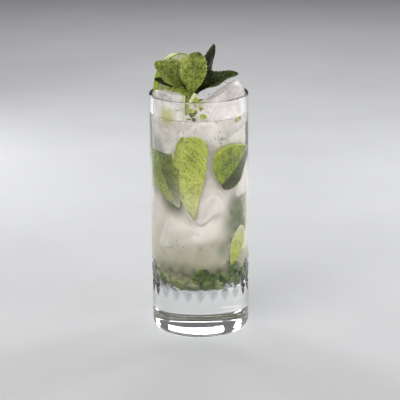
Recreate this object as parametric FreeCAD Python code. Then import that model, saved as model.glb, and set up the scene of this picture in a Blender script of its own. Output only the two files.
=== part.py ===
"""A mojito in a tall cut-crystal highball glass, with ice, a lime wheel and a mint sprig.

Millimetres, +Z up. The origin is the centre of the circle that the glass stands on,
and -Y is the side that the drink is looked at from.
"""
import FreeCAD, Part
import math
import os

from FreeCAD import Rotation, Vector

UP = Vector(0, 0, 1)
CENTRE = Vector(0, 0, 0)

# The glass: a straight tumbler with a thin wall and a thick solid base.
GLASS_HEIGHT = 155.0
GLASS_RADIUS = 31.2
WALL = 2.2
RIM_ROUNDING = 0.9
HEEL_ROUNDING = 5.0
FLOOR_THICKNESS = 27.5
FLOOR_ROUNDING = 12.0
LOW_WALL = 3.4
LOW_WALL_TOP = 48.0
WALL_TAPER_TOP = 64.0
PUNT_DEPTH = 1.4
FOOT_RING_WIDTH = 3.0

# The cut band: two rings of upright mitre cuts, crossed by a level groove at each ring's middle.
CUTS_AROUND = 24
CUT_DEPTH = 1.0
GROOVE_DEPTH = 0.75
GROOVE_HALF_HEIGHT = 2.1
CUT_WIDTH_SHARE = 0.94
LOWER_CUT_HEIGHT = 33.0
LOWER_CUT_HALF_LENGTH = 8.6
CUT_RING_SPACING = 10.7
UPPER_CUT_HALF_LENGTH = 5.4

# The drink, up to its level below the rim.
DRINK_BELOW_RIM = 13.0

# What floats or stands in the drink keeps this clear of the glass's inner wall,
# and the ice keeps these clear of the stem and of the lime wheel's face.
WALL_CLEARANCE = 0.35
STEM_CLEARANCE = 0.6
ICE_LIME_CLEARANCE = 0.6

# The mint's stem, by its middle line. Heights here and below are from the rim.
STEM_RADIUS = 1.5
STEM_BOTTOM = Vector(-8.0, -7.4, -27.0)
STEM_RIM = Vector(-7.0, -3.6, -0.5)
STEM_TIP = Vector(-5.2, 0.5, 14.0)

# Ice at the right: a large cube on one corner, its flat side rising to the right from a low
# corner beside the stem.
RIGHT_ICE_SIZE = Vector(36.0, 27.0, 26.0)
RIGHT_ICE_TILT = 33.5
RIGHT_ICE_TURN = -6.0
RIGHT_ICE_LOW_CORNER_HEIGHT = -10.1
RIGHT_ICE_FORWARD = 11.0
RIGHT_ICE_ROUNDING = 4.5

# Ice at the left: an upright chunk between the stem and the wall.
LEFT_ICE_SIZE = Vector(18.0, 18.0, 38.0)
LEFT_ICE_TILT = -3.0
LEFT_ICE_TURN = 9.0
LEFT_ICE_TOP_HEIGHT = 5.6
LEFT_ICE_FORWARD = 15.8
LEFT_ICE_ROUNDING = 3.0

# The lime wheel stands on edge at the back left, turned this far from facing the front.
LIME_RADIUS = 20.0
LIME_THICKNESS = 4.2
LIME_TURN = 50.0
LIME_MIDDLE_HEIGHT = 2.4
LIME_EDGE_ROUNDING = 0.6

# Each leaf: share of the way up the stem's upper run, compass heading of its growth (0 is +X,
# 90 is away from the front), rise above level, length, width, curl, roll of its blade
# and how far its two halves fold together. Angles are degrees, and a curl bends it downwards.
# A heading of LEANS_ON_LIME is worked out, so that the leaf's tip stays in front of the wheel.
LEAF_THICKNESS = 0.9
LEAF_SECTIONS = 7
LEAF_START = 0.5
LEAF_LIME_CLEARANCE = 4.0
LEANS_ON_LIME = None
LEAVES = {
    "left": (0.60, LEANS_ON_LIME, 44.0, 25.0, 16.0, 30.0, 58.0, 18.0),
    "tall_front": (0.10, 296.0, 84.0, 33.0, 17.0, 26.0, 196.0, 24.0),
    "tall_back": (0.35, 14.0, 66.0, 33.0, 12.0, 14.0, 112.0, 60.0),
    "right": (0.30, 12.0, 30.0, 33.0, 13.0, 24.0, -18.0, 30.0),
    "under_left": (0.36, LEANS_ON_LIME, 30.0, 22.0, 10.0, 16.0, 24.0, 24.0),
    "small": (0.34, 226.0, 20.0, 12.0, 6.0, 16.0, 8.0, 20.0),
}

INNER_RADIUS = GLASS_RADIUS - WALL
LOW_INNER_RADIUS = GLASS_RADIUS - LOW_WALL
ROOM_RADIUS = INNER_RADIUS - WALL_CLEARANCE
DRINK_LEVEL = GLASS_HEIGHT - DRINK_BELOW_RIM
UPPER_CUT_HEIGHT = LOWER_CUT_HEIGHT + CUT_RING_SPACING

# The wheel's outer face just clears the wall, and LIME_FACING is the way its inner face looks.
LIME_FACING = Rotation(UP, LIME_TURN - 90).multVec(Vector(1, 0, 0))
LIME_FROM_AXIS = math.sqrt(ROOM_RADIUS**2 - LIME_RADIUS**2) - LIME_THICKNESS / 2
LIME_CENTRE = LIME_FACING * -LIME_FROM_AXIS + Vector(0, 0, LIME_MIDDLE_HEIGHT)


def above_rim(place):
    """A place whose height is given from the glass's rim."""
    return Vector(place.x, place.y, GLASS_HEIGHT + place.z)


def turned(points_and_arcs):
    """The solid made by a closed outline in the X-Z plane, turned about Z."""
    wire = Part.Wire(points_and_arcs)
    return Part.Face(wire).revolve(CENTRE, UP, 360)


def line(start, end):
    """A straight edge between two (radius, height) points."""
    return Part.makeLine(Vector(start[0], 0, start[1]), Vector(end[0], 0, end[1]))


def arc(start, middle, end):
    """A round edge through three (radius, height) points."""
    points = [Vector(radius, 0, height) for radius, height in (start, middle, end)]
    return Part.Arc(*points).toShape()


def quarter(centre, radius, start_angle, end_angle):
    """A round edge about a (radius, height) centre, between two angles in degrees."""
    angles = [start_angle, (start_angle + end_angle) / 2, end_angle]
    points = [
        (
            centre[0] + radius * math.cos(math.radians(angle)),
            centre[1] + radius * math.sin(math.radians(angle)),
        )
        for angle in angles
    ]
    return arc(*points)


def cavity_edges(top):
    """The inner wall's outline from the floor's middle up to the height top."""
    flat = LOW_INNER_RADIUS - FLOOR_ROUNDING
    corner = (flat, FLOOR_THICKNESS + FLOOR_ROUNDING)
    return [
        line((0, FLOOR_THICKNESS), (flat, FLOOR_THICKNESS)),
        quarter(corner, FLOOR_ROUNDING, -90, 0),
        line((LOW_INNER_RADIUS, corner[1]), (LOW_INNER_RADIUS, LOW_WALL_TOP)),
        line((LOW_INNER_RADIUS, LOW_WALL_TOP), (INNER_RADIUS, WALL_TAPER_TOP)),
        line((INNER_RADIUS, WALL_TAPER_TOP), (INNER_RADIUS, top)),
    ]


def foot_edges():
    """The underside's outline from the middle out to the outer wall above the heel."""
    ring_outer = GLASS_RADIUS - HEEL_ROUNDING
    ring_inner = ring_outer - FOOT_RING_WIDTH
    return [
        arc((0, PUNT_DEPTH), (ring_inner / 2, PUNT_DEPTH * 3 / 4), (ring_inner, 0)),
        line((ring_inner, 0), (ring_outer, 0)),
        quarter((ring_outer, HEEL_ROUNDING), HEEL_ROUNDING, -90, 0),
    ]


def grooved_wall_edges(top):
    """The outer wall's outline from the heel up to the height top, with its two level grooves."""
    corners = [(GLASS_RADIUS, HEEL_ROUNDING)]
    for height in (LOWER_CUT_HEIGHT, UPPER_CUT_HEIGHT):
        corners.append((GLASS_RADIUS, height - GROOVE_HALF_HEIGHT))
        corners.append((GLASS_RADIUS - GROOVE_DEPTH, height))
        corners.append((GLASS_RADIUS, height + GROOVE_HALF_HEIGHT))
    corners.append((GLASS_RADIUS, top))
    return [line(start, end) for start, end in zip(corners, corners[1:])]


def mitre_cut(heading, height, half_length):
    """What a V-edged wheel takes out of the wall: two blunt cones set edge to edge."""
    wheel_radius = half_length**2 / (2 * CUT_DEPTH)
    half_width = CUT_WIDTH_SHARE * math.pi * GLASS_RADIUS / CUTS_AROUND
    fall_of_wall = half_width**2 / (2 * GLASS_RADIUS)
    slope = (CUT_DEPTH - fall_of_wall) / half_width
    reach = 1.5 * half_width
    side_radius = wheel_radius - slope * reach
    middle = GLASS_RADIUS - CUT_DEPTH + wheel_radius
    sides = [
        Part.makeCone(wheel_radius, side_radius, reach, CENTRE, Vector(0, way, 0))
        for way in (-1, 1)
    ]
    wheel = sides[0].fuse(sides[1])
    wheel.translate(Vector(middle, 0, height))
    wheel.rotate(CENTRE, UP, heading)
    return wheel


def cut_band():
    """All the mitre cuts, the upper ring half a step round from the lower one."""
    step = 360 / CUTS_AROUND
    cuts = []
    for index in range(CUTS_AROUND):
        lower = mitre_cut(index * step, LOWER_CUT_HEIGHT, LOWER_CUT_HALF_LENGTH)
        upper = mitre_cut((index + 0.5) * step, UPPER_CUT_HEIGHT, UPPER_CUT_HALF_LENGTH)
        cuts += [lower, upper]
    return cuts


def make_glass():
    inner_rim = (INNER_RADIUS + RIM_ROUNDING, GLASS_HEIGHT - RIM_ROUNDING)
    outer_rim = (GLASS_RADIUS - RIM_ROUNDING, GLASS_HEIGHT - RIM_ROUNDING)
    outline = [
        *foot_edges(),
        *grooved_wall_edges(outer_rim[1]),
        quarter(outer_rim, RIM_ROUNDING, 0, 90),
        line((outer_rim[0], GLASS_HEIGHT), (inner_rim[0], GLASS_HEIGHT)),
        quarter(inner_rim, RIM_ROUNDING, 90, 180),
        *reversed(cavity_edges(inner_rim[1])),
        line((0, FLOOR_THICKNESS), (0, PUNT_DEPTH)),
    ]
    return turned(outline).cut(cut_band())


def make_drink(sunk_pieces):
    """The drink fills the glass up to its level, cut round what floats or stands in it."""
    outline = [
        *cavity_edges(DRINK_LEVEL),
        line((INNER_RADIUS, DRINK_LEVEL), (0, DRINK_LEVEL)),
        line((0, DRINK_LEVEL), (0, FLOOR_THICKNESS)),
    ]
    return turned(outline).cut(sunk_pieces)


def melted_to_fit(piece):
    """A piece without what would reach into the wall or the lime wheel's face."""
    height = 2 * GLASS_HEIGHT
    to_lime = LIME_FROM_AXIS - LIME_THICKNESS / 2 - ICE_LIME_CLEARANCE
    corner = Vector(-to_lime, -ROOM_RADIUS, 0)
    before_lime = Part.makeBox(to_lime + ROOM_RADIUS, 2 * ROOM_RADIUS, height, corner)
    before_lime.rotate(CENTRE, UP, LIME_TURN - 90)
    room = Part.makeCylinder(ROOM_RADIUS, height).common(before_lime)
    return piece.cut(piece.cut(room))


def ice_block(size, tilt, turn, rounding):
    """A rounded block about the origin, tilted in the X-Z plane and turned about Z."""
    block = Part.makeBox(size.x, size.y, size.z, size * -0.5)
    block = block.makeFillet(rounding, block.Edges)
    block.rotate(CENTRE, Vector(0, 1, 0), -tilt)
    block.rotate(CENTRE, UP, turn)
    return block


def stem_at(height):
    """The point on the line of the stem's lower run at a height from the rim."""
    run = STEM_RIM - STEM_BOTTOM
    return STEM_BOTTOM + run * ((height - STEM_BOTTOM.z) / run.z)


def make_right_ice():
    """The right-hand cube, its low corner just right of the stem."""
    block = ice_block(RIGHT_ICE_SIZE, RIGHT_ICE_TILT, RIGHT_ICE_TURN, RIGHT_ICE_ROUNDING)
    tilt = math.radians(RIGHT_ICE_TILT)
    corner_height = (RIGHT_ICE_SIZE.z * math.cos(tilt) - RIGHT_ICE_SIZE.x * math.sin(tilt)) / 2
    beside_stem = stem_at(RIGHT_ICE_LOW_CORNER_HEIGHT).x + STEM_RADIUS + STEM_CLEARANCE
    block.translate(
        above_rim(
            Vector(
                beside_stem - block.optimalBoundingBox().XMin,
                -RIGHT_ICE_FORWARD,
                RIGHT_ICE_LOW_CORNER_HEIGHT - corner_height,
            )
        )
    )
    return melted_to_fit(block)


def make_left_ice():
    """The left-hand chunk, its right side just left of the stem."""
    block = ice_block(LEFT_ICE_SIZE, LEFT_ICE_TILT, LEFT_ICE_TURN, LEFT_ICE_ROUNDING)
    box = block.optimalBoundingBox()
    beside_stem = STEM_BOTTOM.x - STEM_RADIUS - STEM_CLEARANCE
    block.translate(
        above_rim(
            Vector(beside_stem - box.XMax, -LEFT_ICE_FORWARD, LEFT_ICE_TOP_HEIGHT - box.ZMax)
        )
    )
    return melted_to_fit(block)


def make_lime_wheel():
    """A round slice on its edge: its flat faces stand upright."""
    wheel = Part.makeCylinder(LIME_RADIUS, LIME_THICKNESS, Vector(0, 0, -LIME_THICKNESS / 2))
    rims = [edge for edge in wheel.Edges if edge.Closed]
    wheel = wheel.makeFillet(LIME_EDGE_ROUNDING, rims)
    wheel.rotate(CENTRE, Vector(1, 0, 0), 90)
    wheel.rotate(CENTRE, UP, LIME_TURN)
    wheel.translate(above_rim(LIME_CENTRE))
    return wheel


def make_stem():
    """Two straight runs with a round joint, from in the drink up to among the leaves."""
    bottom, rim, tip = (above_rim(place) for place in (STEM_BOTTOM, STEM_RIM, STEM_TIP))
    lower = Part.makeCylinder(STEM_RADIUS, (rim - bottom).Length, bottom, rim - bottom)
    upper = Part.makeCylinder(STEM_RADIUS, (tip - rim).Length, rim, tip - rim)
    return lower.fuse([upper, Part.makeSphere(STEM_RADIUS, rim), Part.makeSphere(STEM_RADIUS, tip)])


def leaf_half_width(share, width):
    """Half the blade's width at a share of its length: widest a little below the middle."""
    return width / 2 * math.sin(math.pi * share**0.85) ** 0.75


def leaf_section(share, length, width, curl, fold):
    """The blade's thin crescent across its midrib, in the leaf's own frame.

    The leaf grows along X with its blade facing Z, and its midrib bends down in an arc.
    """
    bend = math.radians(curl) * share
    bend_radius = length / math.radians(curl)
    middle = Vector(bend_radius * math.sin(bend), 0, bend_radius * (math.cos(bend) - 1))
    facing = Vector(math.sin(bend), 0, math.cos(bend))
    half_width = leaf_half_width(share, width)
    lift = half_width * math.sin(math.radians(fold))
    spread = half_width * math.cos(math.radians(fold))
    edges = [middle + facing * lift + Vector(0, side * spread, 0) for side in (-1, 1)]
    rib_top = middle + facing * LEAF_THICKNESS / 2
    rib_bottom = middle - facing * LEAF_THICKNESS / 2
    below = Part.Arc(edges[0], rib_bottom, edges[1]).toShape()
    above = Part.Arc(edges[1], rib_top, edges[0]).toShape()
    return Part.Wire([below, above])


def heading_beside_lime(place, rise, length):
    """The compass heading that brings a leaf's tip a clearance in front of the wheel's face."""
    face_distance = LIME_FROM_AXIS - LIME_THICKNESS / 2 + LIME_FACING.dot(place)
    reach = length * math.cos(math.radians(rise))
    towards_lime = math.asin((face_distance - LEAF_LIME_CLEARANCE) / reach)
    return 180 + LIME_TURN - math.degrees(towards_lime)


def make_leaf(place, heading, rise, length, width, curl, roll, fold):
    if heading is LEANS_ON_LIME:
        heading = heading_beside_lime(place, rise, length)
    first_share = LEAF_START / length
    shares = [
        first_share + (1 - 2 * first_share) * index / (LEAF_SECTIONS - 1)
        for index in range(LEAF_SECTIONS)
    ]
    sections = [leaf_section(share, length, width, curl, fold) for share in shares]
    leaf = Part.makeLoft(sections, True, True)
    leaf.rotate(CENTRE, Vector(1, 0, 0), roll)
    leaf.rotate(CENTRE, Vector(0, 1, 0), -rise)
    leaf.rotate(CENTRE, UP, heading)
    leaf.translate(place)
    return leaf


def make_mint_sprig():
    """The stem with all its leaves, grown together as one piece."""
    start, end = above_rim(STEM_RIM), above_rim(STEM_TIP)
    leaves = []
    for share, *shape in LEAVES.values():
        leaves.append(make_leaf(start + (end - start) * share, *shape))
    return make_stem().fuse(leaves)


def main():
    garnish = {
        "ice_right": make_right_ice(),
        "ice_left": make_left_ice(),
        "lime_wheel": make_lime_wheel(),
        "mint_sprig": make_mint_sprig(),
    }
    nodes = {
        "glass": make_glass(),
        "drink": make_drink(list(garnish.values())),
        **garnish,
    }
    os.makedirs("parts", exist_ok=True)
    for name, shape in nodes.items():
        shape.exportStep(f"parts/{name}.step")
        box = shape.BoundBox
        print(
            f"{name}: {len(shape.Solids)} solid, {shape.Volume / 1000:.1f} cm3, valid {shape.isValid()},"
            f" x {box.XMin:.1f} {box.XMax:.1f}, y {box.YMin:.1f} {box.YMax:.1f},"
            f" z {box.ZMin:.1f} {box.ZMax:.1f}"
        )


main()
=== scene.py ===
"""The looks of a mojito in a tall cut-crystal glass: cloudy drink, ice, lime and mint.

Metres, +Z up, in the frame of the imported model. -Y is the side the drink is looked at from.
"""

import math
import random

import bmesh
import bpy
from mathutils import Matrix, Vector, noise


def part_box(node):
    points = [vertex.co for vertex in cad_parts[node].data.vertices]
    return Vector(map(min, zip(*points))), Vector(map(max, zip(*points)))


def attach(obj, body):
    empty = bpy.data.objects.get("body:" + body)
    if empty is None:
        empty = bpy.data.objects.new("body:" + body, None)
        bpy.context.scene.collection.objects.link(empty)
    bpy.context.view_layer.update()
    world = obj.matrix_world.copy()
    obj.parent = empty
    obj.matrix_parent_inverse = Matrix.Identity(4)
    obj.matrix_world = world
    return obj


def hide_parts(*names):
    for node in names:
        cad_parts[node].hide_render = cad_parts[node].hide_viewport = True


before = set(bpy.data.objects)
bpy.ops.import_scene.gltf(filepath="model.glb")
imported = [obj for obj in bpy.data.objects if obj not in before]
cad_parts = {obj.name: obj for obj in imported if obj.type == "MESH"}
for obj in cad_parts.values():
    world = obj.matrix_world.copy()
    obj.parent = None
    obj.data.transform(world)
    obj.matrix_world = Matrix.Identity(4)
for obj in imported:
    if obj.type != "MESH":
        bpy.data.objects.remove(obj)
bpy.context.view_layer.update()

MM = 0.001
UP = Vector((0, 0, 1))

# ---------------------------------------------------------------- sizes taken from the frame
GLASS_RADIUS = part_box("glass")[1].x
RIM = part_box("glass")[1].z
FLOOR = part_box("drink")[0].z
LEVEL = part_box("drink")[1].z
INNER_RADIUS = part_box("drink")[1].x

# ---------------------------------------------------------------- the glass's inside
LOW_INNER_RADIUS = GLASS_RADIUS - 3.4 * MM
FLOOR_ROUNDING = 12 * MM
FLOOR_ROUNDING_STEPS = 12
LOW_WALL_TOP = 48 * MM
WALL_TAPER_TOP = 64 * MM
CUT_DEPTH = 1.0 * MM
CUT_BAND = (22 * MM, 51 * MM)
LIQUID_IN_WALL = 0.25 * MM
MENISCUS_RISE = 1.1 * MM
MENISCUS_REACH = 2.4 * MM
MENISCUS_STEPS = 8
LIQUID_STEPS = 160

# ---------------------------------------------------------------- small helpers for meshes


def rng(name):
    """A random source of its own for each piece, the same in every run."""
    return random.Random("mojito " + name)


def spun(steps, profile):
    """A bmesh made by turning (radius, height) points once round the glass's axis."""
    bm = bmesh.new()
    verts = [bm.verts.new((radius, 0, height)) for radius, height in profile]
    edges = [bm.edges.new(pair) for pair in zip(verts, verts[1:])]
    bmesh.ops.spin(
        bm, geom=verts + edges, cent=(0, 0, 0), axis=(0, 0, 1), dvec=(0, 0, 0),
        angle=2 * math.pi, steps=steps, use_merge=True, use_duplicate=False,
    )
    bmesh.ops.remove_doubles(bm, verts=bm.verts, dist=0.001 * MM)
    return bm


def arc_points(centre, radius, start, end, count):
    """(radius, height) points on a round stretch, between two angles in degrees."""
    points = []
    for index in range(count + 1):
        angle = math.radians(start + (end - start) * index / count)
        points.append((centre[0] + radius * math.cos(angle), centre[1] + radius * math.sin(angle)))
    return points


def finish_piece(name, bm, materials, node=None, sharp_angle=None):
    """Turns a bmesh into a piece that rides on the body and takes its finish from a slot.

    node: the frame's node that it stands for. sharp_angle: edges past it, in degrees, stay crisp.
    """
    bmesh.ops.recalc_face_normals(bm, faces=bm.faces)
    for face in bm.faces:
        face.smooth = True
    if sharp_angle is not None:
        for edge in bm.edges:
            if len(edge.link_faces) == 2 and edge.calc_face_angle() > math.radians(sharp_angle):
                edge.smooth = False
    mesh = bpy.data.meshes.new(name)
    bm.to_mesh(mesh)
    bm.free()
    piece = bpy.data.objects.new(name, mesh)
    bpy.context.scene.collection.objects.link(piece)
    for material in materials:
        mesh.materials.append(material)
    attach(piece, "root")
    if node:
        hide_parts(node)
    return piece


def thicken(piece, thickness):
    """Gives a leaf's single sheet its two sides; the underside takes the second material."""
    solid = piece.modifiers.new("thickness", "SOLIDIFY")
    solid.thickness = thickness
    solid.offset = 0.0
    solid.use_even_offset = False
    solid.material_offset = 1


def smooth_step(low, high, value):
    """0 below low, 1 above high and an even ease between them."""
    share = min(1.0, max(0.0, (value - low) / (high - low)))
    return share * share * (3 - 2 * share)


def wobble(point, scale, seed=0.0):
    """Smooth noise from -1 to 1 at a point, with features of about scale metres."""
    return noise.noise(point / scale + Vector((seed, seed * 0.7, -seed)))


# ---------------------------------------------------------------- small helpers for materials


def srgb(red, green, blue):
    """A colour given as 0 to 255 screen values, as the shader's own linear values."""
    def linear(value):
        value /= 255
        return value / 12.92 if value <= 0.04045 else ((value + 0.055) / 1.055) ** 2.4
    return (linear(red), linear(green), linear(blue), 1.0)


class Finish:
    """A material being made: its node tree with short ways to add and join nodes."""

    def __init__(self, name):
        self.material = bpy.data.materials.new(name)
        self.material.use_nodes = True
        self.tree = self.material.node_tree
        self.tree.nodes.clear()
        self.output = self.add("ShaderNodeOutputMaterial")
        self.places = self.add("ShaderNodeTexCoord")

    def add(self, kind, inputs=None, **settings):
        """Adds a node with its inputs, as values or other nodes' outputs, and its settings."""
        node = self.tree.nodes.new(kind)
        for name, value in settings.items():
            setattr(node, name, value)
        for name, value in (inputs or {}).items():
            self.put(node.inputs[name], value)
        return node

    def put(self, socket, value):
        if isinstance(value, bpy.types.NodeSocket):
            self.tree.links.new(value, socket)
        else:
            socket.default_value = value

    def maths(self, operation, first, second=0.0):
        node = self.add("ShaderNodeMath", operation=operation)
        self.put(node.inputs[0], first)
        self.put(node.inputs[1], second)
        return node.outputs[0]

    def noise(self, scale, detail=3.0, roughness=0.55, distortion=0.0, vector=None):
        node = self.add("ShaderNodeTexNoise", {
            "Vector": vector or self.places.outputs["Object"], "Scale": scale,
            "Detail": detail, "Roughness": roughness, "Distortion": distortion,
        })
        return node.outputs["Fac"]

    def cells(self, scale, feature="F1", vector=None):
        """Rounded cells: how far each place is from its cell's middle, or from its edge."""
        node = self.add("ShaderNodeTexVoronoi", {
            "Vector": vector or self.places.outputs["Object"], "Scale": scale,
        }, feature=feature)
        return node.outputs["Distance"]

    def ramp(self, factor, *stops):
        """A colour ramp of (place, colour) stops."""
        node = self.add("ShaderNodeValToRGB", {"Fac": factor})
        elements = node.color_ramp.elements
        while len(elements) < len(stops):
            elements.new(0.5)
        for element, (place, colour) in zip(elements, stops):
            element.position = place
            element.color = colour
        return node.outputs["Color"]

    def level(self, value, from_low, from_high, to_low, to_high):
        """Carries a value from one range to another, and holds it at the ends."""
        node = self.add("ShaderNodeMapRange", {
            "Value": value, "From Min": from_low, "From Max": from_high,
            "To Min": to_low, "To Max": to_high,
        })
        return node.outputs["Result"]

    def mix(self, factor, first, second):
        """Two colours mixed: the numbers are the colour sockets of a Mix node."""
        node = self.add("ShaderNodeMix", data_type="RGBA")
        self.put(node.inputs[0], factor)
        self.put(node.inputs[6], first)
        self.put(node.inputs[7], second)
        return node.outputs[2]

    def bump(self, height, strength, distance, normal=None):
        node = self.add("ShaderNodeBump", {
            "Height": height, "Strength": strength, "Distance": distance,
        })
        if normal:
            self.put(node.inputs["Normal"], normal)
        return node.outputs["Normal"]

    def height(self):
        """Each place's height above the floor."""
        return self.add("ShaderNodeSeparateXYZ", {"Vector": self.places.outputs["Object"]}).outputs["Z"]

    def attribute(self, name):
        return self.add("ShaderNodeAttribute", attribute_name=name).outputs["Fac"]

    def principled(self, **values):
        """A Principled shader; the names' underscores stand for spaces."""
        inputs = {name.replace("_", " "): value for name, value in values.items()}
        return self.add("ShaderNodeBsdfPrincipled", inputs).outputs[0]

    def show(self, shader):
        self.tree.links.new(shader, self.output.inputs["Surface"])
        return self.material

    def show_clear(self, shader, tint):
        """Shows a clear shader and lets lamps shine through it, as thin clear walls do."""
        path = self.add("ShaderNodeLightPath")
        clear = self.add("ShaderNodeBsdfTransparent", {"Color": tint})
        mixed = self.add("ShaderNodeMixShader", {"Fac": path.outputs["Is Shadow Ray"]})
        self.tree.links.new(shader, mixed.inputs[1])
        self.tree.links.new(clear.outputs[0], mixed.inputs[2])
        return self.show(mixed.outputs[0])


# ---------------------------------------------------------------- materials


def crystal_finish():
    """Clear polished crystal with the faint waviness of a pressed and cut wall, and painted shade in its
    cut grooves.
    """
    f = Finish("crystal")
    waves = f.noise(55.0, detail=2.0)
    smears = f.noise(160.0, detail=4.0)
    split = f.add("ShaderNodeSeparateXYZ", {"Vector": f.places.outputs["Object"]})
    flat = f.add("ShaderNodeCombineXYZ", {"X": split.outputs["X"], "Y": split.outputs["Y"]}).outputs[0]
    radius = f.add("ShaderNodeVectorMath", {0: flat}, operation="LENGTH").outputs["Value"]
    cut = f.level(radius, GLASS_RADIUS - 0.02 * MM, GLASS_RADIUS - CUT_DEPTH, 0.0, 1.0)
    cut = f.maths("POWER", cut, 0.6)
    band = f.maths("MULTIPLY", f.maths("GREATER_THAN", split.outputs["Z"], CUT_BAND[0]),
                   f.maths("LESS_THAN", split.outputs["Z"], CUT_BAND[1]))
    outside = f.maths("GREATER_THAN", radius, GLASS_RADIUS - 1.5 * CUT_DEPTH)
    groove_painted_shade = f.maths("MULTIPLY", cut, f.maths("MULTIPLY", band, outside))
    # Painted shade: the cut grooves of the outer band get a dark grey base colour.
    colour = f.mix(groove_painted_shade, (0.995, 1.0, 0.998, 1), (0.34, 0.35, 0.38, 1))
    shader = f.principled(
        Base_Color=colour, Transmission_Weight=1.0, IOR=1.51,
        Roughness=f.level(smears, 0.35, 0.75, 0.0, 0.035),
        Normal=f.bump(waves, 0.06, 0.6 * MM),
    )
    return f.show_clear(shader, (0.95, 0.96, 0.96, 1))


def liquid_finish():
    """The clear part of the drink: water-like, with a trace of lime."""
    f = Finish("liquid")
    ripples = f.noise(90.0, detail=2.0)
    shader = f.principled(
        Base_Color=(0.985, 0.995, 0.965, 1), Transmission_Weight=1.0, IOR=1.333,
        Roughness=f.level(f.noise(70.0), 0.3, 0.7, 0.09, 0.16),
        Normal=f.bump(ripples, 0.10, 0.5 * MM),
    )
    return f.show_clear(shader, (0.97, 0.98, 0.95, 1))


# The cloudy drink's colour, from the glass's floor to its surface.
CLOUD_COLOURS = (
    (0.0, srgb(140, 136, 96)), (0.12, srgb(166, 161, 127)), (0.26, srgb(193, 186, 168)),
    (0.50, srgb(221, 211, 205)), (1.0, srgb(226, 214, 212)),
)
# How far its layers drift up and down.
CLOUD_DRIFT = 12 * MM


def cloud_finish():
    """Cloudy lime and rum: pale grey-white above, olive-grey where the lime has settled, with painted shade
    and painted light where deep ice lies.
    """
    f = Finish("cloudy_drink")
    drift = f.noise(38.0, detail=2.0, distortion=0.6)
    shifted = f.maths("ADD", f.height(), f.level(drift, 0.2, 0.8, -CLOUD_DRIFT, CLOUD_DRIFT))
    base = f.ramp(f.level(shifted, FLOOR, LEVEL, 0.0, 1.0), *CLOUD_COLOURS)
    green = f.mix(f.attribute("leaf_shade"), base, srgb(86, 97, 54))
    # Painted shade along the edges of deep ice, then painted light on its faces.
    dark = f.mix(f.attribute("ice_shade"), green, srgb(160, 152, 140))
    light = f.mix(f.attribute("ice_light"), dark, srgb(246, 240, 236))
    mottled = f.mix(f.level(f.noise(120.0, detail=4.0), 0.42, 0.75, 0.0, 0.2), light, srgb(238, 232, 226))
    shader = f.principled(
        Base_Color=mottled, Roughness=f.level(drift, 0.3, 0.7, 0.5, 0.7),
        Subsurface_Weight=0.35, Subsurface_Radius=(1.0, 0.95, 0.8), Subsurface_Scale=4 * MM,
        Specular_IOR_Level=0.1, Normal=f.bump(f.noise(140.0), 0.25, 0.8 * MM),
    )
    return f.show(shader)


def ice_finish(name, clearness, roughness, painted_lime_view=None):
    """Wet ice: clear at its skin, frosted white inside, with fine cracks.

    The last argument paints the lime's colour on the ice where the lime would show through it: a place, a
    reach and a colour.
    """
    f = Finish(name)
    frost = f.noise(85.0, detail=5.0, roughness=0.65, distortion=0.8)
    cracks = f.cells(150.0, feature="DISTANCE_TO_EDGE")
    cracked = f.maths("LESS_THAN", cracks, 0.035)
    white = f.level(frost, 0.35, 0.65, 0.0, 1.0)
    colour = f.mix(white, srgb(218, 214, 213), srgb(250, 245, 242))
    if painted_lime_view:
        place, reach, green = painted_lime_view
        far = f.add("ShaderNodeVectorMath", {0: f.places.outputs["Object"], 1: place}, operation="DISTANCE")
        # Painted view of the lime: green mixed into the ice's colour near the lime.
        colour = f.mix(f.level(far.outputs["Value"], reach * 0.4, reach, 0.85, 0.0), colour, green)
    bumpy = f.bump(f.noise(240.0, detail=5.0, roughness=0.65), 0.55, 0.7 * MM)
    shader = f.principled(
        Base_Color=colour, IOR=1.31,
        Transmission_Weight=f.level(white, 0.0, 1.0, clearness, clearness * 0.45),
        Roughness=f.level(frost, 0.3, 0.75, roughness * 0.4, roughness * 1.6),
        Normal=f.bump(cracked, 0.12, 0.3 * MM, bumpy),
    )
    return f.show_clear(shader, (0.9, 0.92, 0.93, 1))


def drink_tint(f):
    """The cloudy drink's colour at each height, for what fades into it."""
    return f.ramp(f.level(f.height(), FLOOR, LEVEL, 0.0, 1.0), *CLOUD_COLOURS)


def sunk_ice_finish():
    """Ice under the surface: a little whiter than the drink, fading into it with depth."""
    f = Finish("sunk_ice")
    frost = f.noise(70.0, detail=4.0, distortion=0.5)
    tint = drink_tint(f)
    white = f.mix(f.level(frost, 0.3, 0.75, 0.25, 0.85), tint, srgb(242, 237, 233))
    colour = f.mix(f.attribute("fog"), white, tint)
    shader = f.principled(
        Base_Color=colour, Roughness=f.level(frost, 0.3, 0.7, 0.4, 0.6), Specular_IOR_Level=0.12,
        Subsurface_Weight=0.35, Subsurface_Radius=(1.0, 0.97, 0.9), Subsurface_Scale=4 * MM,
        Normal=f.bump(frost, 0.2, 0.8 * MM),
    )
    return f.show(shader)


# The side veins of a leaf: how far they sweep forward, as a share of its length, and their pairs.
VEIN_SWEEP = 0.30
VEIN_PAIRS = 8
# A fully shaded leaf's brightness, as a share of its dark green.
SHADE_DEPTH = 0.3


def leaf_veins(f):
    """How strongly a vein runs through each place of a leaf's own map, and how far out that is."""
    split = f.add("ShaderNodeSeparateXYZ", {"Vector": f.places.outputs["UV"]})
    across = f.maths("ABSOLUTE", f.maths("SUBTRACT", f.maths("MULTIPLY", split.outputs["X"], 2.0), 1.0))
    bent = f.maths("MULTIPLY", f.maths("POWER", across, 1.15), VEIN_SWEEP)
    along = f.maths("MULTIPLY", f.maths("SUBTRACT", split.outputs["Y"], bent), VEIN_PAIRS * math.pi)
    between = f.maths("ABSOLUTE", f.maths("SINE", along))
    side_veins = f.maths("POWER", f.maths("SUBTRACT", 1.0, between), 5.0)
    midrib = f.maths("POWER", f.maths("SUBTRACT", 1.0, across), 22.0)
    return f.maths("MAXIMUM", f.maths("MULTIPLY", side_veins, 0.75), midrib), across


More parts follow.
